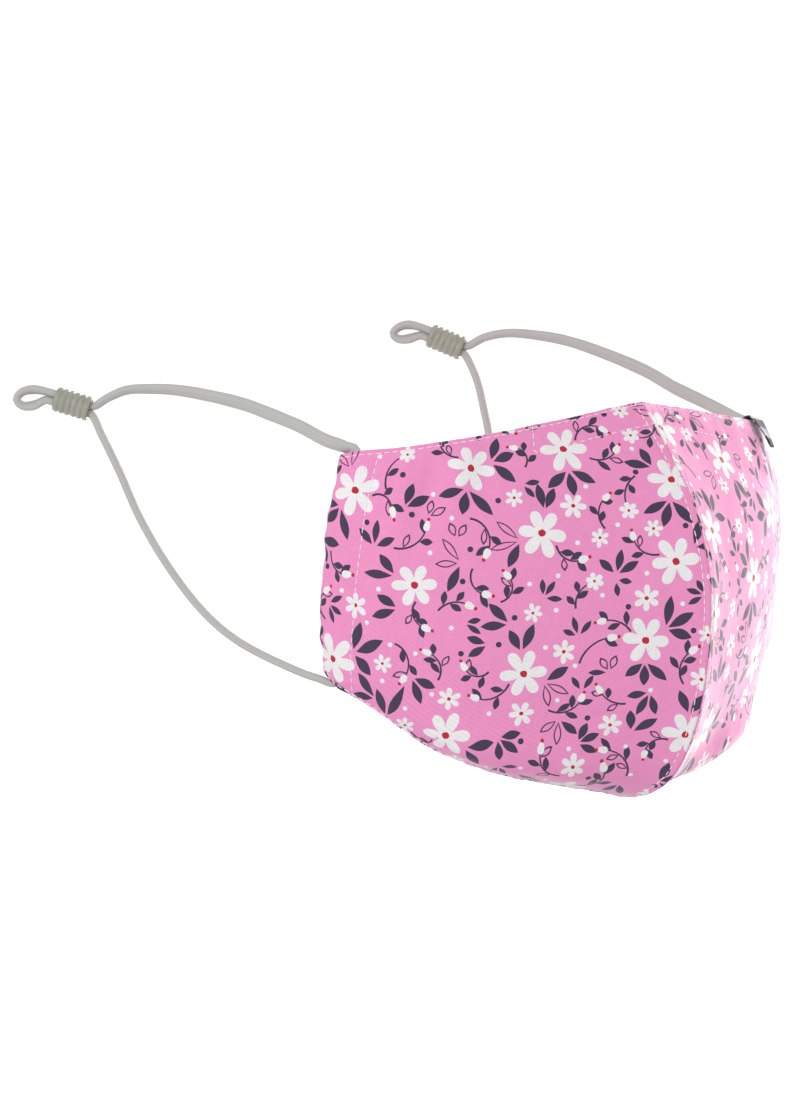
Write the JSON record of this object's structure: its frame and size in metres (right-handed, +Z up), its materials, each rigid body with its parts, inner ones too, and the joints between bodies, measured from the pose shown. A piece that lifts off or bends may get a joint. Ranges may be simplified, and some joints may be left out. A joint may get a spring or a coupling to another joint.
{
  "type": "cloth face mask with adjustable ear loops",
  "caption": "Contoured washable cloth face mask of two seamed halves, with side casings, elastic ear loops and ribbed cord stoppers.",
  "frame": {"origin": "bridge of the nose: the inner face of the cloth at the top of the centre seam", "axes": "+Z up, -Y the way the wearer looks, -X the wearer's right; the ear loops reach back along +Y"},
  "size_m": [0.2055, 0.1891, 0.1363],
  "materials": {
    "floral_cotton": "plain woven cotton, pink with a small flower print, matte",
    "knit_elastic": "soft tubular knitted elastic, light grey, matte",
    "silicone": "translucent grey silicone rubber, satin",
    "woven_label": "woven dark grey tape with a pale stripe, satin"
  },
  "bodies": {
    "root": {"shell_right": "floral_cotton", "shell_left": "floral_cotton", "casing_right": "floral_cotton", "casing_left": "floral_cotton", "ear_loop_right": "knit_elastic", "ear_loop_left": "knit_elastic", "cord_stopper_right": "silicone", "cord_stopper_left": "silicone", "edge_label": "woven_label"}
  },
  "joints": []
}
